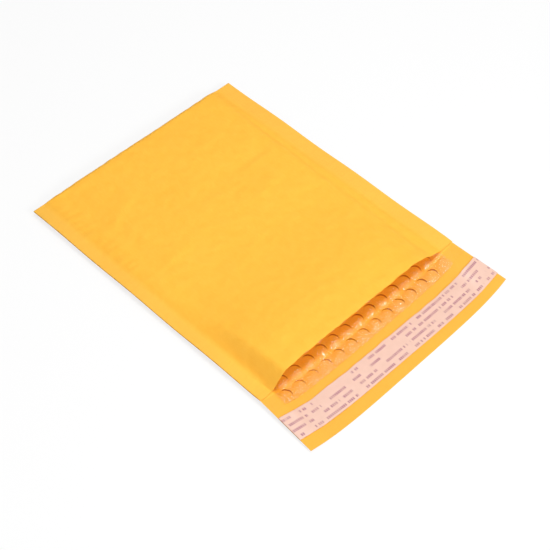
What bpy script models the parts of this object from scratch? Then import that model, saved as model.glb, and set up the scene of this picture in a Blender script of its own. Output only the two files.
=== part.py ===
"""Padded envelope lying on its back with its mouth gaping, in metres, +Z up.

One sheet of kraft paper is folded at the far end (+Y) and sealed along both sides, which makes a pocket.
The back panel runs on past the mouth (towards -Y) as the closing flap. A film of air bubbles lines the
pocket and ends on the flap. A stripe of adhesive with its release liner crosses the flap.

Every layer is an offset of one surface, the outer face of the paper. A point on it has a column x, measured
across the flat sheet from its middle, and a way q along the sheet: below 0 on the flap, 0 at the back edge
of the mouth, growing over the back panel, round the fold and back over the front panel to the front edge of
the mouth.
"""

import math

import bmesh
import bpy
from mathutils import Vector

# Outline of the sheet
BODY_WIDTH = 0.183
BODY_LENGTH = 0.212       # from the fold to the mouth, along the side seams
FLAP_LENGTH = 0.044
MIDDLE_BOW = 0.0035       # the seams have shrunk, so the middle of the back panel reaches this much further
BOW_POWER = 4             # how squarely that bow falls off towards the seams
FLAP_FLARE = 0.0027       # the free flap lies this much wider on each side than the filled body

# Heights
SEAM_WIDTH = 0.011
POCKET_SHIFT = -0.0015    # the pocket was sealed this far off the middle of the sheet
SEAM_THICKNESS = 0.0011
SEAM_HEIGHT = 0.00435     # of the middle of the seams above the surface under the envelope
SHOULDER_WIDTH = 0.0115   # where the closed pocket swells from its seam to its full thickness
MOUTH_RISE = 0.0083       # the mouth stands open by this much more than the closed pocket
MOUTH_REACH = 0.095       # how far into the pocket the mouth's gape dies out
LEFT_RAMP = 0.012         # the front panel rises steeply from the left seam at the mouth
RIGHT_RAMP = 0.034        # and gently from the right one
CORNER_LIFT = 0.0015      # of the flap's free corners
CORNER_SPAN = 0.040       # how far in from each side that lift reaches

# Layers
PAPER = 0.0004            # stands for paper about 0.15 mm thick
GAP = 0.0003              # clearance between separate pieces
FILM = 0.0005             # stands for the flat ply of the bubble film
PAD_CLEARANCE = 0.00015   # from the pads to the middle plane where the pocket is closed
BUBBLE_HEIGHT = 0.0035
BUBBLE_DIAMETER = 0.0095
BUBBLE_PITCH = 0.0115
DOMED_ROWS = 3            # rows of bubbles that show in the mouth; deeper in, the pad is plain
LIP_ROWS = 1              # rows of bubbles that run past the mouth onto the flap

# Closure on the flap
LINER_SETBACK = 0.017     # from the mouth to the liner, at the middle
LINER_WIDTH = 0.019
LINER_SLANT = 0.0012      # the liner runs this much further out at its right end, and less at its left
LINER_THICKNESS = 0.0003
ADHESIVE_WIDTH = 0.013
ADHESIVE_THICKNESS = 0.0003
ADHESIVE_INSET = 0.0015   # from the ends of the liner

# How finely the sheet is divided
SEAM_CELLS = 2
SHOULDER_CELLS = 5
SHOULDER_GROWTH = 1.3     # they widen from the seam inwards
BUBBLE_CELLS = 4          # across one bubble pitch
DEEP_CELLS = 13
FOLD_CELLS = 5            # in each quarter of the fold
FLAP_CELLS = 5
STRIP_CELLS = 3
STEP = 0.00005            # for the slopes of the surface
SAME = 1e-7               # places closer than this are one place
CREASE = math.radians(40)  # edges sharper than this aren't shaded smooth

HALF_WIDTH = BODY_WIDTH / 2
POCKET_HALF = HALF_WIDTH - SEAM_WIDTH
FLAT_HALF = POCKET_HALF - SHOULDER_WIDTH
SEAM_LINES = (POCKET_SHIFT - POCKET_HALF, POCKET_SHIFT + POCKET_HALF)
FLAT_LINES = (POCKET_SHIFT - FLAT_HALF, POCKET_SHIFT + FLAT_HALF)
FOLD_Y = (BODY_LENGTH + MIDDLE_BOW + FLAP_LENGTH) / 2
STRAIGHT = BODY_LENGTH - SEAM_HEIGHT
FOLD_ARC = math.pi * SEAM_HEIGHT
SHEET = 2 * STRAIGHT + FOLD_ARC
BUBBLES_ACROSS = round(2 * FLAT_HALF / BUBBLE_PITCH)
PITCH_X = 2 * FLAT_HALF / BUBBLES_ACROSS
PITCH_Q = BUBBLE_PITCH * math.sqrt(3) / 2
LIP_LENGTH = LIP_ROWS * PITCH_Q
DOMED_LENGTH = DOMED_ROWS * PITCH_Q


def ease(t):
    """0 to 1 with level ends."""
    t = min(max(t, 0.0), 1.0)
    return t * t * (3 - 2 * t)


def half_thickness(x):
    """From the seam plane to the outer face of the closed pocket."""
    inward = min(max((POCKET_HALF - abs(x - POCKET_SHIFT)) / SHOULDER_WIDTH, 0.0), 1.0)
    seam = SEAM_THICKNESS / 2
    return seam + (SEAM_HEIGHT - seam) * math.sin(math.pi / 2 * inward)


def gape(x, s):
    """Extra height of the front panel, s metres in from the mouth."""
    ramp = ease((x - SEAM_LINES[0]) / LEFT_RAMP) * ease((SEAM_LINES[1] - x) / RIGHT_RAMP)
    fade = (1 + math.cos(math.pi * min(s / MOUTH_REACH, 1.0))) / 2
    return MOUTH_RISE * ramp * fade


def bow(x):
    """How much further than the seams a cross line of the back panel reaches at the mouth."""
    return MIDDLE_BOW * (1 - (x / HALF_WIDTH) ** BOW_POWER)


def flap_point(x, q):
    """Underside of the flap: from the back panel's section at the mouth to a flat end, corners lifted."""
    out = -q / FLAP_LENGTH
    at_mouth = SEAM_HEIGHT - half_thickness(x)
    lift = max(0.0, (abs(x) - HALF_WIDTH + CORNER_SPAN) / CORNER_SPAN) ** 2
    at_end = CORNER_LIFT * lift
    wide = x * (1 + FLAP_FLARE / HALF_WIDTH * out)
    return Vector((wide, FOLD_Y - BODY_LENGTH - bow(x) + q, at_mouth + (at_end - at_mouth) * out))


def outer_point(x, q):
    """A point of the paper's outer face."""
    if q < 0:
        return flap_point(x, q)
    front = q > SHEET / 2
    along = SHEET - q if front else q
    half = half_thickness(x)
    if along <= STRAIGHT:
        s = along * (BODY_LENGTH - half) / STRAIGHT
        closing = 1.0
    else:
        turn = (along - STRAIGHT) / SEAM_HEIGHT
        s = BODY_LENGTH - half + half * math.sin(turn)
        closing = math.cos(turn)
    if front:
        return Vector((x, FOLD_Y - (BODY_LENGTH - s), SEAM_HEIGHT + half * closing + gape(x, s)))
    reach = (BODY_LENGTH - s) * (1 + bow(x) / BODY_LENGTH)
    return Vector((x, FOLD_Y - reach, SEAM_HEIGHT - half * closing))


def layer_point(x, q, depth):
    """The outer face moved in by depth, square to itself."""
    along = outer_point(x, q + STEP) - outer_point(x, q - STEP)
    across = outer_point(x + STEP, q) - outer_point(x - STEP, q)
    inward = across.cross(along).normalized()
    return outer_point(x, q) + depth * inward


def columns():
    """Columns over the whole sheet: close on the shoulders, one for each bubble over the flat middle."""
    xs = []
    for side, seam, flat in zip((-1, 1), SEAM_LINES, FLAT_LINES):
        edge = side * HALF_WIDTH
        xs += [edge + (seam - edge) * i / SEAM_CELLS for i in range(SEAM_CELLS)]
        shares = [(i / SHOULDER_CELLS) ** SHOULDER_GROWTH for i in range(SHOULDER_CELLS)]
        xs += [seam + (flat - seam) * share for share in shares]
    xs += [FLAT_LINES[0] + PITCH_X * i for i in range(BUBBLES_ACROSS + 1)]
    return sorted(xs)


def divided(places, low, high):
    """The same places, with each bubble pitch between low and high divided."""
    fine = []
    for a, b in zip(places, places[1:]):
        cells = BUBBLE_CELLS if a > low - SAME and b < high + SAME else 1
        fine += [a + (b - a) * i / cells for i in range(cells)]
    return fine + [places[-1]]


def body_rows():
    """Ways q from the back edge of the mouth, round the fold, to its front edge."""
    deep = STRAIGHT - DOMED_LENGTH
    back = [PITCH_Q * i for i in range(DOMED_ROWS)]
    back += [DOMED_LENGTH + deep * i / DEEP_CELLS for i in range(DEEP_CELLS)]
    back += [STRAIGHT + FOLD_ARC / 2 * i / FOLD_CELLS for i in range(FOLD_CELLS)]
    return back + [SHEET / 2] + [SHEET - q for q in reversed(back)]


def bubble(x, q):
    """Height of the bubble over a point of the film, from 0 between bubbles to 1 at the top of one."""
    along = q if q < SHEET / 2 else SHEET - q
    radius = BUBBLE_DIAMETER / 2
    best = 0.0
    row = math.floor(along / PITCH_Q)
    for near in (row - 1, row, row + 1):
        dq = along - (near + 0.5) * PITCH_Q
        stagger = 0.5 * (near % 2)
        dx = ((x - FLAT_LINES[0]) / PITCH_X + stagger + 0.5) % 1.0 - 0.5
        apart = math.hypot(dx * PITCH_X, dq) / radius
        best = max(best, math.sqrt(max(0.0, 1 - apart * apart)))
    return best


def pad_depth(x, q):
    """Depth of the film's inner side: bubbles near the mouth, and a plain pad of their height deeper in."""
    along = q if q < SHEET / 2 else SHEET - q
    room = half_thickness(x) - PAPER - GAP - PAD_CLEARANCE
    pad = min(BUBBLE_HEIGHT, room)
    if along < DOMED_LENGTH - SAME:
        cut_edge = -LIP_LENGTH if q < SHEET / 2 else 0.0
        swell = bubble(x, q) if along > cut_edge + SAME else 0.0
        pad = min(FILM, pad) + max(0.0, pad - FILM) * swell
    return PAPER + GAP + pad


def bridge(mesh, near, far):
    """Fills the strip between two rows of (place, vertex). One row may have more points than the other."""
    i = 0
    j = 0
    while i < len(near) - 1 or j < len(far) - 1:
        near_next = near[i + 1][0] if i < len(near) - 1 else math.inf
        far_next = far[j + 1][0] if j < len(far) - 1 else math.inf
        if abs(near_next - far_next) < SAME:
            corners = [near[i], near[i + 1], far[j + 1], far[j]]
            i += 1
            j += 1
        elif near_next < far_next:
            corners = [near[i], near[i + 1], far[j]]
            i += 1
        else:
            corners = [near[i], far[j + 1], far[j]]
            j += 1
        mesh.faces.new([vertex for place, vertex in corners])


def layer_rows(mesh, rows, depth):
    """Vertices of a layer: for each (q, columns), a row of (column, vertex)."""
    return [[(x, mesh.verts.new(layer_point(x, q, depth(x, q)))) for x in xs] for q, xs in rows]


def pocket(name, seams, outer, outer_depth, inner, inner_depth):
    """A layer folded into a pocket, with its back panel running on past the mouth as a tongue.

    outer and inner list (q, columns) from the end of the tongue, over the back panel, round the fold and
    to the front edge of the mouth. Outside the two seams, given by their columns, the front and back are
    fused.
    """
    mesh = bmesh.new()
    skin = layer_rows(mesh, outer, outer_depth)
    for near, far in zip(skin, skin[1:]):
        bridge(mesh, near, far)

    # The tongue's upper face, from its end to the mouth, has every column.
    tongue = [(q, xs) for q, xs in inner if q < SAME]
    top = layer_rows(mesh, tongue, inner_depth)
    for near, far in zip(top, top[1:]):
        bridge(mesh, near, far)

    # The hollow has the columns between the seams, and front and back share one vertex on each seam.
    left = [pair for pair in top[-1] if pair[0] < seams[0] + SAME]
    right = [pair for pair in top[-1] if pair[0] > seams[1] - SAME]
    inside = [(q, [x for x in xs if seams[0] + SAME < x < seams[1] - SAME]) for q, xs in inner]
    between = [(q, xs) for q, xs in inside if q > SAME]
    hollow = [top[-1][len(left) : -len(right)]] + layer_rows(mesh, between, inner_depth)
    ways = [0.0] + [q for q, xs in between]
    for back in range((len(ways) + 1) // 2):
        front = len(ways) - 1 - back
        pair = (left[-1][1], right[0][1]) if back == 0 else (mesh.verts.new(), mesh.verts.new())
        for x, vertex in zip(seams, pair):
            ends = [layer_point(x, ways[r], inner_depth(x, ways[r])) for r in (back, front)]
            vertex.co = (ends[0] + ends[1]) / 2
        for row in {back, front}:
            hollow[row] = [(seams[0], pair[0])] + hollow[row] + [(seams[1], pair[1])]
    for near, far in zip(hollow, hollow[1:]):
        bridge(mesh, near, far)

    # Cut edges: the tongue's end, the front edge of the mouth, and the sides.
    bridge(mesh, skin[0], top[0])
    bridge(mesh, skin[-1], left[:-1] + hollow[-1] + right[1:])
    for end in (0, -1):
        under = [(q, row[end][1]) for (q, xs), row in zip(outer, skin) if q < SAME]
        over = [(q, row[end][1]) for (q, xs), row in zip(tongue, top)]
        bridge(mesh, under, over)
        rows = [row[end][1] for (q, xs), row in zip(outer, skin) if q > -SAME]
        ply = over[-1][1]
        mesh.faces.new([rows[-1], ply, rows[-2]])
        mesh.faces.new([ply, rows[0], rows[1], rows[-2]])
        for r in range(1, len(rows) // 2 - 1):
            mesh.faces.new([rows[r], rows[r + 1], rows[-2 - r], rows[-1 - r]])
        middle = len(rows) // 2
        mesh.faces.new(rows[middle - 1 : middle + 2])
    return finish(name, mesh)


def strip(name, setback, width, inset, low, high):
    """A flat strip across the flap, between two depths, following the flap's curve."""
    mesh = bmesh.new()
    end_x = HALF_WIDTH - inset
    xs = [x for x in columns() if abs(x) < end_x - SAME]
    xs = [-end_x] + xs + [end_x]

    def place(x, i, depth):
        q = -(setback + LINER_SLANT * x / HALF_WIDTH + width * i / STRIP_CELLS)
        return x, mesh.verts.new(layer_point(x, q, depth))

    faces = [[[place(x, i, depth) for x in xs] for i in range(STRIP_CELLS + 1)] for depth in (low, high)]
    for rows in faces:
        for near, far in zip(rows, rows[1:]):
            bridge(mesh, near, far)
    under, over = faces
    bridge(mesh, under[0], over[0])
    bridge(mesh, under[-1], over[-1])
    for end in (0, -1):
        bridge(
            mesh,
            [(i, row[end][1]) for i, row in enumerate(under)],
            [(i, row[end][1]) for i, row in enumerate(over)],
        )
    return finish(name, mesh)


def finish(name, mesh):
    """Turns a bmesh into a smooth-shaded object with crisp cut edges."""
    bmesh.ops.recalc_face_normals(mesh, faces=mesh.faces)
    data = bpy.data.meshes.new(name)
    mesh.to_mesh(data)
    mesh.free()
    data.shade_smooth()
    data.set_sharp_from_angle(angle=CREASE)
    piece = bpy.data.objects.new(name, data)
    bpy.context.collection.objects.link(piece)
    return piece


def linear(code):
    """A six-figure sRGB colour as linear red, green, blue and alpha."""
    parts = [int(code[i : i + 2], 16) / 255 for i in (0, 2, 4)]
    return [c / 12.92 if c <= 0.04045 else ((c + 0.055) / 1.055) ** 2.4 for c in parts] + [1.0]


def coat(piece, name, code, roughness, clearness=0.0):
    """Gives a piece its own material."""
    material = bpy.data.materials.new(name)
    material.use_nodes = True
    shader = material.node_tree.nodes["Principled BSDF"]
    shader.inputs["Base Color"].default_value = linear(code)
    shader.inputs["Roughness"].default_value = roughness
    shader.inputs["Metallic"].default_value = 0.0
    shader.inputs["Transmission Weight"].default_value = clearness
    piece.data.materials.append(material)


def kraft_sleeve():
    """The folded sheet of paper with its sealed sides and its flap."""
    xs = columns()
    flap = [-FLAP_LENGTH + (FLAP_LENGTH - LIP_LENGTH) * i / FLAP_CELLS for i in range(FLAP_CELLS)]
    flap += [-PITCH_Q * i for i in range(LIP_ROWS, 0, -1)]
    rows = [(q, xs) for q in flap + body_rows()]
    piece = pocket("kraft_sleeve", SEAM_LINES, rows, lambda x, q: 0.0, rows, lambda x, q: PAPER)
    coat(piece, "kraft paper", "FEC74D", 0.75)
    return piece


def bubble_lining():
    """The bubble film inside the paper, with bubbles near the mouth and on the flap."""
    inside = [x for x in columns() if SEAM_LINES[0] + SAME < x < SEAM_LINES[1] - SAME]
    coarse_rows = [-PITCH_Q * i for i in range(LIP_ROWS, 0, -1)] + body_rows()
    half = len(body_rows()) // 2 + 1
    back_rows = divided(coarse_rows[: LIP_ROWS + half], -LIP_LENGTH, DOMED_LENGTH)
    fine_rows = back_rows + [SHEET - q for q in reversed(back_rows[:-1]) if q > -SAME]
    fine_columns = divided(inside, *FLAT_LINES)

    def across(q):
        return fine_columns if min(q, SHEET - q) < DOMED_LENGTH - SAME else inside

    outer = [(q, inside) for q in coarse_rows]
    inner = [(q, across(q)) for q in fine_rows]
    seams = (inside[1], inside[-2])
    piece = pocket("bubble_lining", seams, outer, lambda x, q: PAPER + GAP, inner, pad_depth)
    coat(piece, "bubble film", "E9B45A", 0.2, 0.3)
    return piece


def adhesive_strip():
    """The stripe of adhesive between the flap and the liner."""
    low = PAPER + GAP
    setback = LINER_SETBACK + (LINER_WIDTH - ADHESIVE_WIDTH) / 2
    piece = strip("adhesive_strip", setback, ADHESIVE_WIDTH, ADHESIVE_INSET, low, low + ADHESIVE_THICKNESS)
    coat(piece, "hot-melt adhesive", "E8C27A", 0.35)
    return piece


def release_liner():
    """The strip that peels off the adhesive."""
    low = PAPER + GAP + ADHESIVE_THICKNESS + GAP
    piece = strip("release_liner", LINER_SETBACK, LINER_WIDTH, 0.0, low, low + LINER_THICKNESS)
    coat(piece, "coated release paper", "F6DCD5", 0.45)
    return piece


def main():
    for old in list(bpy.data.objects):
        bpy.data.objects.remove(old, do_unlink=True)
    envelope = bpy.data.objects.new("padded_envelope", None)
    bpy.context.collection.objects.link(envelope)
    for make in (kraft_sleeve, bubble_lining, adhesive_strip, release_liner):
        make().parent = envelope


main()
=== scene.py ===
import math

import bpy
import numpy as np
from mathutils import Matrix, Vector, noise


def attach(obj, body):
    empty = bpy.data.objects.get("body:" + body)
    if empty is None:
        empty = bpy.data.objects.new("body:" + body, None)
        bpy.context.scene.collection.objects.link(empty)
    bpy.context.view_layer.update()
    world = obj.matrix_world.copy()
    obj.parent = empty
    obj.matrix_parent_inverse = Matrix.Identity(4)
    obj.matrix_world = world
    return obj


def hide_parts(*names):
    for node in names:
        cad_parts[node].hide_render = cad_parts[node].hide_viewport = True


# Looks of a padded envelope that lies on its back with its mouth gaping: golden kraft paper, a lining of
# air-bubble film, and a release liner over the adhesive on its flap.
#
# Every layer follows one surface, the outer face of the paper. A point of it has a place x across the flat
# sheet, from its middle, and a way q along it. q is below 0 on the flap and 0 at the back edge of the mouth.
# It grows over the back panel, round the fold and back over the front panel to the front edge of the mouth.

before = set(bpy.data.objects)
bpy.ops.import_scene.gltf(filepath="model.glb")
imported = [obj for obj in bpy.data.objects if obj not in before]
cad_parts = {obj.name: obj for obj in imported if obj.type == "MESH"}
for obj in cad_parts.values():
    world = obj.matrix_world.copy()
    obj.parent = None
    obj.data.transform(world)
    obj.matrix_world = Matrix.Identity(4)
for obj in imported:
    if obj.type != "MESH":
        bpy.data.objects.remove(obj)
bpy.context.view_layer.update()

MM = 0.001

# The sheet of paper
BODY_WIDTH = 183 * MM
BODY_LENGTH = 212 * MM
FLAP_LENGTH = 44 * MM
MIDDLE_BOW = 3.5 * MM      # the middle of the back panel reaches this much further than its seams
BOW_POWER = 4
FLAP_FLARE = 2.7 * MM      # the free flap lies this much wider on each side than the filled body
SEAM_WIDTH = 11 * MM       # of the sealed strip on each side
POCKET_SHIFT = -1.5 * MM   # the pocket was sealed this far off the middle of the sheet
SEAM_THICKNESS = 1.1 * MM
SEAM_HEIGHT = 4.35 * MM    # of the seams' middle plane above the table
SHOULDER_WIDTH = 11.5 * MM    # the pocket grows from the seam's thickness to its own over this
MOUTH_RISE = 8.3 * MM      # the mouth's edge stands this much higher than the closed pocket
MOUTH_REACH = 95 * MM      # the gape dies out this far in
LEFT_RAMP = 12 * MM        # it reaches its height this far from each seam
RIGHT_RAMP = 34 * MM
CORNER_LIFT = 1.5 * MM     # the flap's corners curl up this much
CORNER_SPAN = 40 * MM

# The layers, from the outer face of the paper inwards
PAPER = 0.25 * MM
PLY_GAP = 0.03 * MM        # between layers that touch
PLY = 0.12 * MM            # the two plies of the film where no air parts them
BUBBLE_TOP = 4.2 * MM      # depth of the bubbles' tops under the outer face
BUBBLE_DIAMETER = 9.5 * MM
BUBBLE_PITCH = 11.5 * MM
FILM_SETBACK = 0.5 * MM    # the film ends this far inside the paper's edge at the mouth
LINER_SETBACK = 17 * MM    # from the mouth's back edge
LINER_WIDTH = 19 * MM
LINER_SLANT = 1.2 * MM     # each end lies this far off square
LINER_THICKNESS = 0.12 * MM
ADHESIVE_WIDTH = 13 * MM
ADHESIVE_INSET = 1.5 * MM
ADHESIVE_THICKNESS = 0.3 * MM

HALF_WIDTH = BODY_WIDTH / 2
POCKET_HALF = HALF_WIDTH - SEAM_WIDTH
FLAT_HALF = POCKET_HALF - SHOULDER_WIDTH
LEFT_SEAM = POCKET_SHIFT - POCKET_HALF
RIGHT_SEAM = POCKET_SHIFT + POCKET_HALF
LEFT_FLAT = POCKET_SHIFT - FLAT_HALF
RIGHT_FLAT = POCKET_SHIFT + FLAT_HALF
FOLD_Y = (BODY_LENGTH + MIDDLE_BOW + FLAP_LENGTH) / 2
MOUTH_Y = FOLD_Y - BODY_LENGTH
STRAIGHT = BODY_LENGTH - SEAM_HEIGHT
SHEET = 2 * STRAIGHT + math.pi * SEAM_HEIGHT
PITCH_Q = BUBBLE_PITCH * math.sqrt(3) / 2
BODY_ROWS = int(SHEET / 2 / PITCH_Q)    # whole rows of bubbles on each panel, with one more round the fold
RING_CELLS = 8                          # cells of the film's mesh across one bubble, each way
STEP = 0.05 * MM                        # to the points on each side that give the surface's slope

# The sealed sides aren't quite level
SWAY = 0.35 * MM
SWAY_FADE = 6 * MM         # it dies out over this distance inside the seams, and from the mouth
SWAY_LENGTH = 74 * MM      # of one wave along the side
SWAY_PHASE = 14            # radians a metre across, so that the two sides differ


def ease(t):
    """0 to 1 with level ends."""
    t = np.clip(t, 0.0, 1.0)
    return t * t * (3 - 2 * t)


def half_thickness(x):
    """From the seam plane to the outer face of the closed pocket."""
    inward = np.clip((POCKET_HALF - abs(x - POCKET_SHIFT)) / SHOULDER_WIDTH, 0.0, 1.0)
    seam = SEAM_THICKNESS / 2
    return seam + (SEAM_HEIGHT - seam) * np.sin(math.pi / 2 * inward)


def gape(x, s):
    """Extra height of the front panel, s metres in from the mouth."""
    ramp = ease((x - LEFT_SEAM) / LEFT_RAMP) * ease((RIGHT_SEAM - x) / RIGHT_RAMP)
    return MOUTH_RISE * ramp * (1 + np.cos(math.pi * np.minimum(s / MOUTH_REACH, 1.0))) / 2


def bow(x):
    """How much further than the seams a cross line of the back panel reaches at the mouth."""
    return MIDDLE_BOW * (1 - (x / HALF_WIDTH) ** BOW_POWER)


def flap_face(x, q):
    """Underside of the flap, from the back panel's section at the mouth to a flat end with lifted corners."""
    out = -q / FLAP_LENGTH
    at_mouth = SEAM_HEIGHT - half_thickness(x)
    at_end = CORNER_LIFT * np.maximum(0.0, (abs(x) - HALF_WIDTH + CORNER_SPAN) / CORNER_SPAN) ** 2
    wide = x * (1 + FLAP_FLARE / HALF_WIDTH * out)
    return np.stack([wide, MOUTH_Y - bow(x) + q, at_mouth + (at_end - at_mouth) * out], -1)


def outer_face(x, q):
    """The paper's outer face at rest, without its wrinkles."""
    front = q > SHEET / 2
    along = np.where(front, SHEET - q, q)
    half = half_thickness(x)
    turn = np.clip((along - STRAIGHT) / SEAM_HEIGHT, 0.0, math.pi / 2)
    on_panel = along * (BODY_LENGTH - half) / STRAIGHT
    s = np.where(along > STRAIGHT, BODY_LENGTH - half + half * np.sin(turn), on_panel)
    y = np.where(front, FOLD_Y - BODY_LENGTH + s, FOLD_Y - (BODY_LENGTH - s) * (1 + bow(x) / BODY_LENGTH))
    rise = half * np.cos(turn)
    z = SEAM_HEIGHT + np.where(front, rise + gape(x, s), -rise)
    return np.where((q < 0)[..., None], flap_face(x, q), np.stack([x, y, z], -1))


def layer(x, q, depth):
    """The outer face moved in by depth, square to itself."""
    along = outer_face(x, q + STEP) - outer_face(x, q - STEP)
    across = outer_face(x + STEP, q) - outer_face(x - STEP, q)
    inward = np.cross(across, along)
    inward /= np.linalg.norm(inward, axis=-1, keepdims=True)
    places = outer_face(x, q) + depth[..., None] * inward
    places[..., 2] = np.maximum(places[..., 2], 0.0) + sway(places[..., 0], places[..., 1])
    return places


def sway(x, y):
    """How much all the layers of the sealed sides rise and sink together."""
    outward = ease((abs(x - POCKET_SHIFT) - POCKET_HALF + SWAY_FADE) / SWAY_FADE)
    free = outward * ease((y - MOUTH_Y) / SWAY_FADE)
    return SWAY * free * np.sin(2 * math.pi * y / SWAY_LENGTH + x * SWAY_PHASE)


# Relief of the front panel. A crease runs between two points (x, distance from the fold). Then come its
# width on the mouth's side, its width on the fold's side, and its height above the paper round it. Below 0 it
# is a furrow.
CREASES = (
    ((-34 * MM, 39 * MM), (-70 * MM, 54 * MM), 2.6 * MM, 9 * MM, 0.60 * MM),
    ((-37 * MM, 97 * MM), (-62 * MM, 100 * MM), 2.6 * MM, 8 * MM, 0.55 * MM),
    ((46 * MM, 94 * MM), (21 * MM, 100 * MM), 4 * MM, 9 * MM, 0.60 * MM),
    ((66 * MM, 70 * MM), (33 * MM, 71 * MM), 3 * MM, 7 * MM, -0.55 * MM),
    ((30 * MM, 73 * MM), (-18 * MM, 76 * MM), 4 * MM, 9 * MM, -0.34 * MM),
    ((74 * MM, 46 * MM), (52 * MM, 64 * MM), 3 * MM, 8 * MM, 0.24 * MM),
    ((-66 * MM, 26 * MM), (-52 * MM, 44 * MM), 4 * MM, 7 * MM, -0.20 * MM),
    ((-10 * MM, 128 * MM), (-40 * MM, 138 * MM), 4 * MM, 10 * MM, 0.20 * MM),
    ((52 * MM, 128 * MM), (30 * MM, 146 * MM), 4 * MM, 10 * MM, -0.18 * MM),
)
CREASE_END = 0.15          # a crease's height follows a half wave that is cut off by this share at each end
FRONT_FADE = 8 * MM        # the relief grows from the fold over this distance
BILLOW_FADE = 14 * MM      # and its billows over this one
MOUTH_FADE = 30 * MM       # what only the mouth has dies out over this distance from its edge
LEFT_SAG = 1.5 * MM        # the paper is slack beside the left seam
LEFT_SAG_WIDTH = 26 * MM
LEFT_SAG_POWER = 1.5       # above 1, the sag starts and ends gently
LEFT_SAG_HELD = 0.3        # share of the sag that the mouth's edge lacks
LEFT_PUFF = 0.3 * MM       # the mouth's edge swells right beside the seam
LEFT_PUFF_WIDTH = 7 * MM
LIP_SLANT = 1.1 * MM       # the mouth gapes this much more at its left end, and less at its right
MOUTH_BAND = 12 * MM       # the front panel dips this far from its edge
MOUTH_BAND_WIDTH = 5 * MM
MOUTH_DIP = 0.25 * MM
DENT_PITCH = 7 * MM        # between the dents along the left seam
DENT_DRIFT = 3.5 * MM      # they aren't evenly spaced
DENT_DEPTH = 0.36 * MM
DENT_REACH = 9 * MM        # from the seam inwards
DENT_START = 8 * MM        # they run between these distances from the fold
DENT_START_FADE = 10 * MM
DENT_END = 120 * MM
DENT_END_FADE = 40 * MM
GROOVE_DEPTH = 1.3 * MM    # of the furrow along the right seam
GROOVE_WIDTH = 4.5 * MM
GROOVE_INSET = 6 * MM      # its distance from the seam half way along, less at the fold and more at the mouth
GROOVE_EDGE = 5 * MM       # it dies out over this distance from the seam
GROOVE_START = 10 * MM     # from the fold
GROOVE_FADE = 50 * MM
BILLOW = 0.35 * MM         # slow unevenness of the front panel
BILLOW_LENGTH = 38 * MM
LUMP = 0.13 * MM           # quick unevenness, where the bubbles print through
LUMP_LENGTH = 6 * MM
BACK_DENT = 0.25 * MM      # the same on the back panel, which can only dent inwards
BACK_START = 2 * MM        # from the mouth's back edge
BACK_FADE = 10 * MM


def unevenness(x, y, length, seed):
    """Smooth noise from about -1 to 1, the same on every run."""
    points = np.stack([x / length, y / length, np.full_like(x, seed)], -1)
    return np.array([noise.noise(Vector(p)) for p in points.reshape(-1, 3)]).reshape(x.shape) * 2


def near_line(x, y, start, end):
    """Distance from a line between two points, below 0 on its mouth side, and the share of the way along."""
    way = np.array(end) - np.array(start)
    length = np.linalg.norm(way)
    dx, dy = x - start[0], y - start[1]
    share = np.clip((dx * way[0] + dy * way[1]) / length**2, 0.0, 1.0)
    apart = np.hypot(dx - share * way[0], dy - share * way[1])
    return np.where(dy * way[0] > dx * way[1], apart, -apart), share


def relief(x, q):
    """How far the paper stands out from its even surface, in metres."""
    front = ease((q - SHEET / 2) / FRONT_FADE)
    from_fold = np.maximum(q - SHEET / 2, 0.0)
    from_mouth = SHEET - q
    inside = ease((x - LEFT_SEAM) / SHOULDER_WIDTH) * ease((RIGHT_SEAM - x) / SHOULDER_WIDTH)
    panel = inside * ease(from_fold / BILLOW_FADE)
    at_mouth = ease((MOUTH_FADE - from_mouth) / MOUTH_FADE)

    out = BILLOW * panel * unevenness(x, from_fold, BILLOW_LENGTH, seed=3.7)
    slack = np.clip((x - LEFT_SEAM) / LEFT_SAG_WIDTH, 0.0, 1.0)
    out -= LEFT_SAG * np.sin(math.pi * slack) ** LEFT_SAG_POWER * (1 - LEFT_SAG_HELD * at_mouth)
    puff = np.clip((x - LEFT_SEAM) / LEFT_PUFF_WIDTH, 0.0, 1.0)
    out += LEFT_PUFF * np.sin(math.pi * puff) * at_mouth
    slant = LIP_SLANT * (x - POCKET_SHIFT) / POCKET_HALF
    out -= slant * inside * ease((MOUTH_REACH - from_mouth) / MOUTH_REACH)
    for start, end, mouth_width, fold_width, height in CREASES:
        apart, share = near_line(x, from_fold, start, end)
        width = np.where(apart < 0, mouth_width, fold_width)
        swell = np.sin(math.pi * (CREASE_END + (1 - 2 * CREASE_END) * share))
        out += height * np.exp(-((apart / width) ** 2)) * swell
    out -= MOUTH_DIP * inside * np.exp(-(((from_mouth - MOUTH_BAND) / MOUTH_BAND_WIDTH) ** 2))

    drift = DENT_DRIFT * unevenness(np.zeros_like(x), from_fold, DENT_PITCH * 2, seed=7.7)
    dents = 0.5 - 0.5 * np.cos(2 * math.pi * (from_fold + drift) / DENT_PITCH)
    beside = np.exp(-(((x - LEFT_SEAM - DENT_REACH / 2) / (DENT_REACH / 2)) ** 2))
    begun = ease((from_fold - DENT_START) / DENT_START_FADE)
    unended = ease((DENT_END - from_fold) / DENT_END_FADE)
    out -= DENT_DEPTH * beside * dents * begun * unended

    inset = GROOVE_INSET * (0.5 + from_fold / BODY_LENGTH)
    groove = np.exp(-(((x - RIGHT_SEAM + inset) / GROOVE_WIDTH) ** 2)) * ease((RIGHT_SEAM - x) / GROOVE_EDGE)
    out -= GROOVE_DEPTH * groove * ease((from_fold - GROOVE_START) / GROOVE_FADE)

    on_back = inside * ease((q - BACK_START) / BACK_FADE)
    back = -BACK_DENT * on_back * abs(unevenness(x, q, BILLOW_LENGTH, seed=8.1))
    lumps = LUMP * inside * unevenness(x, q, LUMP_LENGTH, seed=5.3)
    return front * (out + lumps) + (1 - front) * np.minimum(back + np.where(q > 0, lumps, 0.0), 0.0)


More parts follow.
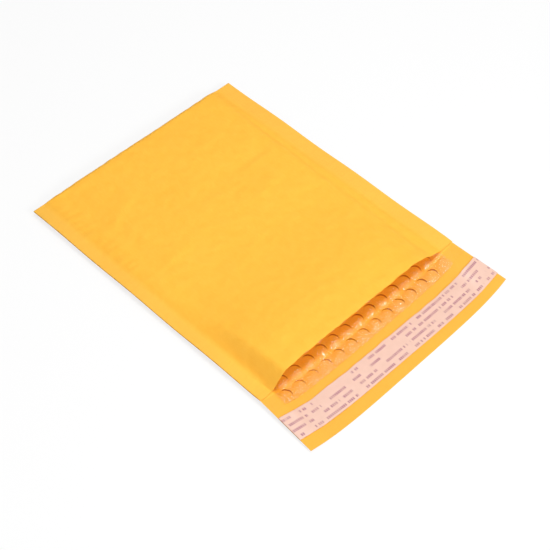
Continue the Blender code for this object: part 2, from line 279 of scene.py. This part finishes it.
def spaced(stops, cells):
    """Places from the first stop to the last, one on every stop, about a cell's width apart."""
    places = [stops[0]]
    for low, high, cell in zip(stops, stops[1:], cells):
        count = max(1, round((high - low) / cell))
        places += [low + (high - low) * (i + 1) / count for i in range(count)]
    return np.array(places)


WALL = 0.1                 # thickness of a sheet's grid, before its points are put in place


def folded_sheet(name, columns, rows, place):
    """A thin closed sheet: a grid with a wall. place(column, row, inner) gives x, q and each point's place.

    The sheet's own UV map holds x and q in metres.
    """
    bpy.ops.object.select_all(action="DESELECT")
    across = len(columns) - 1
    along = len(rows) - 1
    bpy.ops.mesh.primitive_grid_add(x_subdivisions=across, y_subdivisions=along, size=2, calc_uvs=True)
    piece = bpy.context.object
    piece.name = name
    wall = piece.modifiers.new("wall", "SOLIDIFY")
    wall.thickness = WALL
    wall.offset = -1
    bpy.ops.object.modifier_apply(modifier=wall.name)

    mesh = piece.data
    flat = np.empty(len(mesh.vertices) * 3, np.float32)
    mesh.vertices.foreach_get("co", flat)
    flat = flat.reshape(-1, 3)
    column = np.rint((flat[:, 0] + 1) / 2 * across).astype(int)
    row = np.rint((flat[:, 1] + 1) / 2 * along).astype(int)
    x, q, points = place(column, row, flat[:, 2] > -WALL / 2)
    mesh.vertices.foreach_set("co", points.astype(np.float32).ravel())

    corner = np.empty(len(mesh.loops), int)
    mesh.loops.foreach_get("vertex_index", corner)
    sheet = np.stack([x, q], -1)[corner]
    mesh.uv_layers.active.data.foreach_set("uv", sheet.astype(np.float32).ravel())
    mesh.update()
    return piece


def smooth(piece, angle):
    """Shades a piece smooth, apart from its cut edges."""
    bpy.ops.object.select_all(action="DESELECT")
    piece.select_set(True)
    bpy.context.view_layer.objects.active = piece
    bpy.ops.object.shade_smooth_by_angle(angle=math.radians(angle))


PAPER_CELL = 1.5 * MM
FOLD_CELL = 1 * MM
EDGE_NIBBLE = 0.25 * MM    # the blade leaves the mouth's edge uneven by this much
NIBBLE_LENGTH = 5 * MM


def make_kraft():
    """The folded sheet of paper."""
    stops = (-HALF_WIDTH, LEFT_SEAM, LEFT_FLAT, RIGHT_FLAT, RIGHT_SEAM, HALF_WIDTH)
    columns = spaced(stops, [PAPER_CELL] * 5)
    stops = (-FLAP_LENGTH, 0.0, STRAIGHT, SHEET - STRAIGHT, SHEET)
    rows = spaced(stops, (PAPER_CELL, PAPER_CELL, FOLD_CELL, PAPER_CELL))

    def place(column, row, inner):
        x = columns[column]
        q = rows[row]
        nibble = EDGE_NIBBLE * unevenness(x, np.zeros_like(x), NIBBLE_LENGTH, seed=2.2)
        q = q + np.where(row == len(rows) - 1, nibble, 0.0)
        depth = np.where(inner, PAPER, 0.0) - relief(x, q)
        return x, q, layer(x, q, depth)

    piece = folded_sheet("kraft_paper_sheet", columns, rows, place)
    smooth(piece, angle=40)
    return piece


RING_SHARES = np.array([0.0, 0.42, 0.80, 1.0])     # of a bubble's radius, at each ring of the mesh
RING_HEIGHTS = np.array([1.0, 0.96, 0.70, 0.0])    # of its height, at the same rings
BUBBLE_SPREAD = 0.12       # bubbles differ in height by this share
CRUMPLE = 0.16 * MM        # dents in the bubbles
CRUMPLE_LENGTH = 2.6 * MM
LIP_CRUMPLE = 2.2          # the row on the flap is this much more dented


def ring_place(u, v):
    """Moves a point of a square ring onto a round one. Returns its ring's number and its direction."""
    ring = np.maximum(abs(u), abs(v))
    flatter = abs(u) >= abs(v)
    with np.errstate(divide="ignore", invalid="ignore"):
        sideways = np.where(u != 0, v / u, 0.0) * math.pi / 4
        upright = np.where(v != 0, u / v, 0.0) * math.pi / 4
    sideways += np.where(u < 0, math.pi, 0)
    upright = math.pi / 2 - upright + np.where(v < 0, math.pi, 0)
    return np.rint(ring * RING_CELLS / 2).astype(int), np.where(flatter, sideways, upright)


def make_film():
    """The lining: one sheet of two-ply film with its bubbles towards the pocket."""
    bubbles_across = round((RIGHT_SEAM - LEFT_SEAM) / BUBBLE_PITCH)
    seam_cells = (4, 5)    # cells across the film on the left seam, and on the right one
    columns = np.concatenate([
        np.linspace(-HALF_WIDTH + FILM_SETBACK, LEFT_SEAM, seam_cells[0], endpoint=False),
        np.linspace(LEFT_SEAM, RIGHT_SEAM, bubbles_across * RING_CELLS, endpoint=False),
        np.linspace(RIGHT_SEAM, HALF_WIDTH - FILM_SETBACK, seam_cells[1] + 1),
    ])
    panel = [PITCH_Q * i for i in range(-1, BODY_ROWS + 1)]
    stops = panel + [SHEET - q for q in reversed(panel[1:])]
    rows = np.concatenate([np.linspace(a, b, RING_CELLS, endpoint=False) for a, b in zip(stops, stops[1:])])
    rows = np.append(rows, SHEET - FILM_SETBACK)
    half_cell = RING_CELLS // 2

    def place(column, row, inner):
        x = columns[column]
        q = rows[row]
        line = np.minimum(row // RING_CELLS, len(stops) - 2)
        from_mouth = np.where(line <= BODY_ROWS + 1, line - 1, len(stops) - 2 - line)
        shift = np.where(from_mouth % 2 == 0, half_cell, 0)
        place_in_row = column - seam_cells[0] + shift
        u = (place_in_row % RING_CELLS - half_cell) / half_cell
        v = (row - line * RING_CELLS - half_cell) / half_cell
        ring, angle = ring_place(u, v)
        number = place_in_row // RING_CELLS
        whole = (place_in_row >= 0) & (column <= seam_cells[0] + bubbles_across * RING_CELLS)
        domed = whole & (ring < half_cell)
        ring = np.where(domed, ring, 0)
        centre_x = LEFT_SEAM + (number * RING_CELLS - shift + half_cell) * BUBBLE_PITCH / RING_CELLS
        middle = np.array([(a + b) / 2 for a, b in zip(stops, stops[1:])])
        radius = BUBBLE_DIAMETER / 2 * RING_SHARES[ring]
        x = np.where(domed, centre_x + radius * np.cos(angle), x)
        q = np.where(domed, middle[line] + radius * np.sin(angle), q)

        out = relief(x, q)
        ply = PAPER + PLY_GAP - out
        limit = np.where(line == 0, BUBBLE_TOP, half_thickness(x) - PLY_GAP)    # row 0 lies on the flap
        web = np.minimum(ply + PLY, limit)
        top = np.maximum(web, np.minimum(BUBBLE_TOP, limit))
        odds = unevenness(number + 0.5, line + 0.5, length=1.0, seed=9.4)
        swell = RING_HEIGHTS[ring] * (1 - BUBBLE_SPREAD * abs(odds))
        dome = np.where(domed, web + (top - web) * swell, web)
        crumple = CRUMPLE * unevenness(x, q, CRUMPLE_LENGTH, seed=4.1) * np.clip((dome - web) / MM, 0.0, 1.0)
        crumple *= np.where(line == 0, LIP_CRUMPLE, 1.0)
        depth = np.where(inner, np.minimum(dome - abs(crumple), np.maximum(limit, web)), ply)
        return x, q, layer(x, q, depth)

    piece = folded_sheet("bubble_film", columns, rows, place)
    smooth(piece, angle=80)
    piece.visible_diffuse = False    # clear film takes no light from the paper under it
    piece.visible_shadow = False
    return piece


STRIP_CELL = 1.5 * MM
STRIP_EDGE = 0.3           # a strip's outer rows are this share thinner
LINER_WAVE = 0.25 * MM     # the liner's edge is this ragged, and it lifts this much off the adhesive
RAG_LENGTH = 9 * MM
RAG_STRETCH = 0.4
LIFT_LENGTH = 22 * MM
PRINT_ROW = LINER_WIDTH / 4.1    # four rows of print and a narrow margin
PRINT_HEIGHT = 2.3 * MM    # of a printed bar
PRINT_STROKE = 1.35 * MM   # from one bar to the next


def make_strip(name, setback, width, inset, low, high, wave):
    """A strip across the flap, from low to high above the flap's underside."""
    columns = spaced((inset - HALF_WIDTH, HALF_WIDTH - inset), (STRIP_CELL,))
    rows = spaced((-setback - width, -setback), (STRIP_CELL,))

    def place(column, row, inner):
        x = columns[column]
        ragged = wave * unevenness(x, rows[row] * RAG_STRETCH, RAG_LENGTH, seed=6.6)
        q = rows[row] - LINER_SLANT * x / HALF_WIDTH + np.where(row == len(rows) - 1, ragged, 0.0)
        lift = wave * abs(unevenness(x, rows[row], LIFT_LENGTH, seed=1.3))
        edge = np.minimum(row, len(rows) - 1 - row) == 0
        rounded = np.where(inner & edge, STRIP_EDGE * (high - low), 0.0)
        return x, q, layer(x, q, np.where(inner, high - rounded, low) + lift)

    piece = folded_sheet(name, columns, rows, place)
    smooth(piece, angle=40)
    return piece


def make_adhesive():
    """The stripe of adhesive under the liner."""
    low = PAPER + PLY_GAP
    high = low + ADHESIVE_THICKNESS
    setback = LINER_SETBACK + (LINER_WIDTH - ADHESIVE_WIDTH) / 2
    return make_strip("adhesive_stripe", setback, ADHESIVE_WIDTH, ADHESIVE_INSET, low, high, 0.0)


def make_liner():
    """The strip that peels off the adhesive."""
    low = PAPER + PLY_GAP + ADHESIVE_THICKNESS + PLY_GAP
    high = low + LINER_THICKNESS
    return make_strip("liner_strip", LINER_SETBACK, LINER_WIDTH, 0.0, low, high, LINER_WAVE)


def linear(code):
    """An sRGB hex colour as linear red, green, blue and alpha."""
    parts = [int(code[i : i + 2], 16) / 255 for i in (0, 2, 4)]
    return [c / 12.92 if c <= 0.04045 else ((c + 0.055) / 1.055) ** 2.4 for c in parts] + [1.0]


def add(tree, kind, values=None, **settings):
    """Adds a node with its settings. values gives its inputs numbers, colours or other nodes' outputs."""
    made = tree.nodes.new("ShaderNode" + kind)
    for name, value in settings.items():
        setattr(made, name, value)
    for name, value in (values or {}).items():
        if isinstance(value, bpy.types.NodeSocket):
            tree.links.new(value, made.inputs[name])
        else:
            made.inputs[name].default_value = value
    return made


def new_material(name):
    """An empty material, its node tree and its output node."""
    material = bpy.data.materials.new(name)
    material.use_nodes = True
    tree = material.node_tree
    tree.nodes.clear()
    return material, tree, tree.nodes.new("ShaderNodeOutputMaterial")


def from_pocket_middle(tree, across):
    """Distance from the pocket's middle line, for the place across the sheet."""
    off_middle = add(tree, "Math", {0: across, 1: POCKET_SHIFT}, operation="SUBTRACT")
    return add(tree, "Math", {0: off_middle.outputs[0]}, operation="ABSOLUTE").outputs[0]


CLOUD_SIZE = 6 * MM
CLOUD_HEIGHT = 0.42 * MM
FIBRE_WIDTH = 1 * MM
FIBRE_LENGTH = 5 * MM
FIBRE_HEIGHT = 0.05 * MM
TICK_PITCH = 2.4 * MM
ONE_WAVE = math.pi / 10    # the Wave Texture's Scale that gives one wave a metre
TICK_HEIGHT = 0.05 * MM
SEAL_FADE = 5 * MM         # the paper's look changes over this distance at the sealed sides
SEAL_FADE_OUTSIDE = 3 * MM    # of which this much lies on the seam
SEALED_TONE = 0.6          # how far the sealed sides take their own tone
FLAP_TONE = 0.7            # how far the flap takes its own


def kraft_paper():
    """Dyed machine-made kraft paper: matt, with long fibres, cloudy colour and a knurled heat seal."""
    material, tree, output = new_material("kraft paper, dyed and machine made")
    place = add(tree, "TexCoord")
    uv = place.outputs["UV"]

    # Clouds of pulp about 6 mm wide, and fibres drawn 1 by 5 mm, coarser than real ones, so that they show.
    clouds = add(tree, "TexNoise", {
        "Vector": place.outputs["Object"], "Scale": 1 / CLOUD_SIZE, "Detail": 4.0,
    })
    drawn = add(tree, "Mapping", {"Vector": uv, "Scale": (1 / FIBRE_WIDTH, 1 / FIBRE_LENGTH, 1.0)})
    fibres = add(tree, "TexNoise", {
        "Vector": drawn.outputs[0], "Scale": 1.0, "Detail": 4.0, "Roughness": 0.6,
    })
    tone = add(tree, "MixRGB", {
        "Fac": clouds.outputs["Fac"], "Color1": linear("FCB738"), "Color2": linear("FFC145"),
    })
    grain = add(tree, "MapRange", {
        "Value": fibres.outputs["Fac"], "From Min": 0.35, "From Max": 0.75, "To Max": 0.22,
    })
    colour = add(tree, "MixRGB", {
        "Fac": grain.outputs[0], "Color1": tone.outputs[0], "Color2": linear("F6AA2C"),
    })

    # The sealing bar leaves cross ticks on the sides of the body.
    split = add(tree, "SeparateXYZ", {"Vector": uv})
    from_middle = from_pocket_middle(tree, split.outputs["X"])
    sealed_from = POCKET_HALF + SEAL_FADE_OUTSIDE
    on_seam = add(tree, "MapRange", {
        "Value": from_middle, "From Min": sealed_from - SEAL_FADE, "From Max": sealed_from,
    })
    on_body = add(tree, "MapRange", {"Value": split.outputs["Y"], "From Min": -1 * MM, "From Max": 0.0})
    sealed = add(tree, "Math", {0: on_seam.outputs[0], 1: on_body.outputs[0]}, operation="MULTIPLY")
    ticks = add(tree, "TexWave", {
        "Vector": uv, "Scale": ONE_WAVE / TICK_PITCH,
        "Distortion": 6.0, "Detail": 3.0, "Detail Scale": 0.5,
    }, bands_direction="Y")
    ticked = add(tree, "Math", {0: ticks.outputs["Fac"], 1: sealed.outputs[0]}, operation="MULTIPLY")

    # The sealed sides are paler and duller in colour, and the bare flap is deeper in tone.
    paler_where_sealed = add(tree, "Math", {0: sealed.outputs[0], 1: SEALED_TONE}, operation="MULTIPLY")
    colour = add(tree, "MixRGB", {
        "Fac": paler_where_sealed.outputs[0], "Color1": colour.outputs[0], "Color2": linear("F4BA4C"),
    })
    on_flap = add(tree, "Math", {0: FLAP_TONE, 1: on_body.outputs[0]}, operation="SUBTRACT")
    bare = add(tree, "Math", {0: on_flap.outputs[0], 1: 0.0}, operation="MAXIMUM")
    colour = add(tree, "MixRGB", {
        "Fac": bare.outputs[0], "Color1": colour.outputs[0], "Color2": linear("ECAA40"),
    })

    # Pulp clouds, fibres and ticks add up to one height in metres.
    height = add(tree, "Math", {0: clouds.outputs["Fac"], 1: CLOUD_HEIGHT}, operation="MULTIPLY")
    for pattern, rise in ((fibres.outputs["Fac"], FIBRE_HEIGHT), (ticked.outputs[0], TICK_HEIGHT)):
        height = add(tree, "Math", {0: pattern, 1: rise, 2: height.outputs[0]}, operation="MULTIPLY_ADD")
    bump = add(tree, "Bump", {"Height": height.outputs[0], "Strength": 1.0, "Distance": 1.0})
    rough = add(tree, "MapRange", {"Value": fibres.outputs["Fac"], "To Min": 0.62, "To Max": 0.82})
    paper = add(tree, "BsdfPrincipled", {
        "Base Color": colour.outputs[0], "Roughness": rough.outputs[0], "Normal": bump.outputs[0],
        "Specular IOR Level": 0.25,
    })
    tree.links.new(paper.outputs[0], output.inputs["Surface"])
    return material


FILM_CREASE_SIZE = 3.5 * MM
FILM_CREASE_HEIGHT = 0.7 * MM
LIP_CREASE_HEIGHT = 1.5 * MM    # the film's edge on the flap has been handled, and is creased more sharply
FILM_FADE = 2 * MM         # the film's look changes over this distance at the sealed sides
SEALED_GLOSS = 0.05        # share of its gloss that the film keeps where it is sealed to the paper


def bubble_film():
    """Blown clear polyethylene: see-through, glossy, and finely creased so that it glints."""
    material, tree, output = new_material("polyethylene film, blown and thermoformed")
    place = add(tree, "TexCoord")
    creases = add(tree, "TexNoise", {
        "Vector": place.outputs["UV"], "Scale": 1 / FILM_CREASE_SIZE, "Detail": 2.0, "Distortion": 2.0,
    })
    split = add(tree, "SeparateXYZ", {"Vector": place.outputs["UV"]})
    handled = add(tree, "MapRange", {
        "Value": split.outputs["Y"], "From Min": 1 * MM, "From Max": -2 * MM,
        "To Min": FILM_CREASE_HEIGHT, "To Max": LIP_CREASE_HEIGHT,
    })
    height = add(tree, "Math", {0: creases.outputs["Fac"], 1: handled.outputs[0]}, operation="MULTIPLY")
    bump = add(tree, "Bump", {"Height": height.outputs[0], "Strength": 1.0, "Distance": 1.0})
    loose = add(tree, "MapRange", {
        "Value": from_pocket_middle(tree, split.outputs["X"]),
        "From Min": POCKET_HALF, "From Max": POCKET_HALF - FILM_FADE, "To Min": SEALED_GLOSS,
    })

    # The film mirrors 4%, and at its rims more, alike from both sides. It tints what is behind it faintly,
    # and at its rims a painted shade darkens what is behind it strongly. Sealed to the paper, it hardly
    # shows.
    rim = add(tree, "LayerWeight", {"Blend": 0.5})
    steep = add(tree, "Math", {0: rim.outputs["Facing"], 1: 4.0}, operation="POWER")
    # Painted shade: what shows through the film turns dark orange towards the rims, by the angle of view, in
    # place of the rims' refraction.
    painted_rim_shade = add(tree, "MapRange", {"Value": rim.outputs["Facing"], "From Min": 0.45, "From Max": 0.85})
    faint = add(tree, "MixRGB", {
        "Fac": loose.outputs[0], "Color1": linear("FFFFFF"), "Color2": linear("FBF2E0"),
    })
    behind = add(tree, "MixRGB", {
        "Fac": painted_rim_shade.outputs[0], "Color1": faint.outputs[0], "Color2": linear("CC8C3C"),
    })
    clear = add(tree, "BsdfTransparent", {"Color": behind.outputs[0]})
    gloss = add(tree, "BsdfAnisotropic", {
        "Color": linear("FFFFFF"), "Roughness": 0.16, "Normal": bump.outputs[0],
    })
    mirror = add(tree, "Math", {0: steep.outputs[0], 1: 0.5, 2: 0.04}, operation="MULTIPLY_ADD")
    share = add(tree, "Math", {0: mirror.outputs[0], 1: loose.outputs[0]}, operation="MULTIPLY")
    film = add(tree, "MixShader", {"Fac": share.outputs[0], 1: clear.outputs[0], 2: gloss.outputs[0]})
    tree.links.new(film.outputs[0], output.inputs["Surface"])
    return material


DRAG_LENGTH = 12 * MM
DRAG_PITCH = 0.8 * MM


def hot_melt():
    """Hot-melt adhesive laid in a stripe: amber, soft and glossy, with drag lines along the web."""
    material, tree, output = new_material("hot-melt adhesive, slot coated")
    place = add(tree, "TexCoord")
    drawn = add(tree, "Mapping", {
        "Vector": place.outputs["UV"], "Scale": (1 / DRAG_LENGTH, 1 / DRAG_PITCH, 1.0),
    })
    drag = add(tree, "TexNoise", {"Vector": drawn.outputs[0], "Scale": 1.0, "Detail": 3.0})
    colour = add(tree, "MixRGB", {
        "Fac": drag.outputs["Fac"], "Color1": linear("D9B06A"), "Color2": linear("EFD08F"),
    })
    bump = add(tree, "Bump", {"Height": drag.outputs["Fac"], "Distance": 0.15 * MM})
    rough = add(tree, "MapRange", {"Value": drag.outputs["Fac"], "To Min": 0.2, "To Max": 0.4})
    glue = add(tree, "BsdfPrincipled", {
        "Base Color": colour.outputs[0], "Roughness": rough.outputs[0], "Normal": bump.outputs[0],
    })
    tree.links.new(glue.outputs[0], output.inputs["Surface"])
    return material


GROUP_LENGTH = 11 * MM     # of a group of bars and the gap after it, roughly
WEAR_SIZE = 6 * MM         # of the paler and darker parts of the print and the paper
ROW_STAGGER = 0.37         # of a bar, from one row of print to the next
BAR_SEED = 41.0            # settles which bars are left out


def release_paper():
    """Silicone-coated release paper: pinkish white, satin, with four rows of plain printed bars."""
    material, tree, output = new_material("release paper, silicone coated and printed")
    place = add(tree, "TexCoord")
    split = add(tree, "SeparateXYZ", {"Vector": place.outputs["UV"]})
    slant = add(tree, "Math", {
        0: split.outputs["X"], 1: LINER_SLANT / HALF_WIDTH, 2: LINER_SETBACK + LINER_WIDTH,
    }, operation="MULTIPLY_ADD")
    across = add(tree, "Math", {0: split.outputs["Y"], 1: slant.outputs[0]}, operation="ADD")
    flat = add(tree, "CombineXYZ", {"X": split.outputs["X"], "Y": across.outputs[0]})

    # Rows of printed upright bars with soft edges. Some are left out, and there are gaps between groups.
    down = add(tree, "Math", {0: across.outputs[0], 1: PRINT_ROW}, operation="DIVIDE")
    row = add(tree, "Math", {0: down.outputs[0]}, operation="FLOOR")
    in_row = add(tree, "Math", {0: down.outputs[0]}, operation="FRACT")
    from_line = add(tree, "Math", {0: in_row.outputs[0], 1: 0.5}, operation="SUBTRACT")
    off_line = add(tree, "Math", {0: from_line.outputs[0]}, operation="ABSOLUTE")
    half_bar = PRINT_HEIGHT / PRINT_ROW / 2
    on_line = add(tree, "MapRange", {
        "Value": off_line.outputs[0], "From Min": half_bar, "From Max": 0.6 * half_bar,
    })
    stagger = add(tree, "Math", {
        0: row.outputs[0], 1: ROW_STAGGER, 2: BAR_SEED,
    }, operation="MULTIPLY_ADD")
    strokes = add(tree, "Math", {
        0: split.outputs["X"], 1: 1 / PRINT_STROKE, 2: stagger.outputs[0],
    }, operation="MULTIPLY_ADD")
    stroke = add(tree, "Math", {0: strokes.outputs[0]}, operation="FLOOR")
    in_stroke = add(tree, "Math", {0: strokes.outputs[0]}, operation="FRACT")
    beside = add(tree, "Math", {0: in_stroke.outputs[0], 1: 0.5}, operation="SUBTRACT")
    off_stroke = add(tree, "Math", {0: beside.outputs[0]}, operation="ABSOLUTE")
    on_stroke = add(tree, "MapRange", {"Value": off_stroke.outputs[0], "From Min": 0.48, "From Max": 0.28})
    cell = add(tree, "CombineXYZ", {"X": stroke.outputs[0], "Y": row.outputs[0]})
    chance = add(tree, "TexWhiteNoise", {"Vector": cell.outputs[0]}, noise_dimensions="2D")
    weight = add(tree, "MapRange", {"Value": chance.outputs["Value"], "From Min": 0.16, "From Max": 0.22})
    in_line = add(tree, "CombineXYZ", {"X": split.outputs["X"], "Y": row.outputs[0]})
    groups = add(tree, "TexNoise", {
        "Vector": in_line.outputs[0], "Scale": 1 / GROUP_LENGTH, "Detail": 0.0,
    }, noise_dimensions="2D")
    in_group = add(tree, "MapRange", {"Value": groups.outputs["Fac"], "From Min": 0.40, "From Max": 0.43})
    bar = add(tree, "Math", {0: on_line.outputs[0], 1: on_stroke.outputs[0]}, operation="MULTIPLY")
    kept = add(tree, "Math", {0: weight.outputs[0], 1: in_group.outputs[0]}, operation="MULTIPLY")
    ink = add(tree, "Math", {0: bar.outputs[0], 1: kept.outputs[0]}, operation="MULTIPLY")
    worn = add(tree, "TexNoise", {"Vector": flat.outputs[0], "Scale": 1 / WEAR_SIZE, "Detail": 2.0})
    fade = add(tree, "MapRange", {
        "Value": worn.outputs["Fac"], "From Min": 0.35, "From Max": 0.6, "To Min": 0.45, "To Max": 0.8,
    })
    printed = add(tree, "Math", {0: ink.outputs[0], 1: fade.outputs[0]}, operation="MULTIPLY")
    paper = add(tree, "MixRGB", {
        "Fac": worn.outputs["Fac"], "Color1": linear("DDB5A2"), "Color2": linear("E7C1B0"),
    })
    colour = add(tree, "MixRGB", {
        "Fac": printed.outputs[0], "Color1": paper.outputs[0], "Color2": linear("94486A"),
    })
    bump = add(tree, "Bump", {"Height": worn.outputs["Fac"], "Distance": 0.12 * MM})
    coated = add(tree, "BsdfPrincipled", {
        "Base Color": colour.outputs[0], "Roughness": 0.42, "Normal": bump.outputs[0],
    })
    tree.links.new(coated.outputs[0], output.inputs["Surface"])
    return material


FLOOR_GLOW = 0.8           # share of the floor's whiteness that no shadow dims
AMBIENT = 0.27             # the world's light on the object
CAMERA_PLACE = Vector((-437.3, -381.05, 681.1)) * MM
CAMERA_AZIMUTH = -49.5
CAMERA_ELEVATION = 50.6
CAMERA_ROLL = 4.4
SENSOR = 36.0
FOCAL_SHARE = 1350 / 550   # focal length as a share of the picture's width
FLOOR_SIZE = 8             # metres
FLOOR_GAP = 0.02 * MM      # between the floor and what lies on it

# Each lamp's name, place, target, size in metres and power in watts
LAMPS = (
    ("overhead softbox", (0.1, -0.1, 1.06), (0, 0, 0), 0.3, 5.7),
    ("near softbox", (0.0, -1.05, 0.66), (0, -0.03, 0), 0.3, 8.6),
    ("left softbox", (-0.8, -0.3, 0.5), (0, 0, 0), 0.3, 0.8),
    ("glint", (0.52, 0.40, 0.76), (0.02, -0.08, 0), 0.04, 0.6),
)


def seen_white(tree):
    """1 for the rays by which the eye, a mirror or glass sees the studio, and 0 for those that light it."""
    rays = add(tree, "LightPath")
    seen = rays.outputs["Is Camera Ray"]
    for kind in ("Is Glossy Ray", "Is Transmission Ray"):
        seen = add(tree, "Math", {0: seen, 1: rays.outputs[kind]}, operation="MAXIMUM").outputs[0]
    return seen


def floor_material():
    """A white floor: the eye, mirrors and glass see it white, apart from the object's soft shadow."""
    material, tree, output = new_material("white paper backdrop")
    shown = add(tree, "Math", {0: seen_white(tree), 1: FLOOR_GLOW}, operation="MULTIPLY")
    matt = add(tree, "BsdfDiffuse", {"Color": linear("F4F4F4")})
    white = add(tree, "Emission", {"Color": (1.0, 1.0, 1.0, 1.0), "Strength": 1.0})
    mixed = add(tree, "MixShader", {"Fac": shown.outputs[0], 1: matt.outputs[0], 2: white.outputs[0]})
    tree.links.new(mixed.outputs[0], output.inputs["Surface"])
    return material


def add_camera():
    """The photograph's view."""
    azimuth, elevation, roll = (math.radians(a) for a in (CAMERA_AZIMUTH, CAMERA_ELEVATION, CAMERA_ROLL))
    level = math.cos(elevation)
    back = Vector((math.sin(azimuth) * level, -math.cos(azimuth) * level, math.sin(elevation)))
    right = Vector((0, 0, 1)).cross(back).normalized()
    up = back.cross(right)
    axes = Matrix((right, up, back)).transposed().to_4x4()
    data = bpy.data.cameras.new("camera")
    data.sensor_width = SENSOR
    data.lens = SENSOR * FOCAL_SHARE
    data.clip_start = 0.01
    camera = bpy.data.objects.new("camera", data)
    camera.matrix_world = Matrix.Translation(CAMERA_PLACE) @ axes @ Matrix.Rotation(roll, 4, "Z")
    bpy.context.collection.objects.link(camera)
    bpy.context.scene.camera = camera


def add_lamp(name, place, target, size, power):
    """A square soft lamp at place, facing target."""
    data = bpy.data.lights.new(name, "AREA")
    data.size = size
    data.energy = power
    lamp = bpy.data.objects.new(name, data)
    lamp.location = place
    lamp.rotation_euler = (Vector(target) - Vector(place)).to_track_quat("-Z", "Y").to_euler()
    bpy.context.collection.objects.link(lamp)


def add_studio():
    """Floor, world and lamps."""
    bpy.ops.object.select_all(action="DESELECT")
    bpy.ops.mesh.primitive_plane_add(size=FLOOR_SIZE, location=(0, 0, -FLOOR_GAP))
    floor = bpy.context.object
    floor.name = "floor"
    floor.data.materials.append(floor_material())

    world = bpy.data.worlds.new("studio")
    world.use_nodes = True
    tree = world.node_tree
    tree.nodes.clear()
    seen = seen_white(tree)
    strength = add(tree, "MapRange", {"Value": seen, "To Min": AMBIENT, "To Max": 1.0})
    sky = add(tree, "Background", {"Color": (1.0, 1.0, 1.0, 1.0), "Strength": strength.outputs[0]})
    output = add(tree, "OutputWorld", {"Surface": sky.outputs[0]})
    output.is_active_output = True
    bpy.context.scene.world = world

    for lamp in LAMPS:
        add_lamp(*lamp)


def dress(piece, node, material):
    """Puts a finished piece in the place of its CAD node."""
    piece.data.materials.clear()
    piece.data.materials.append(material)
    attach(piece, "root")
    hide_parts(node)


def main():
    add_camera()
    kraft = make_kraft()
    film = make_film()
    adhesive = make_adhesive()
    liner = make_liner()
    dress(kraft, "kraft_sleeve", kraft_paper())
    dress(film, "bubble_lining", bubble_film())
    dress(adhesive, "adhesive_strip", hot_melt())
    dress(liner, "release_liner", release_paper())
    add_studio()
    bpy.context.scene.view_settings.view_transform = "Standard"


main()
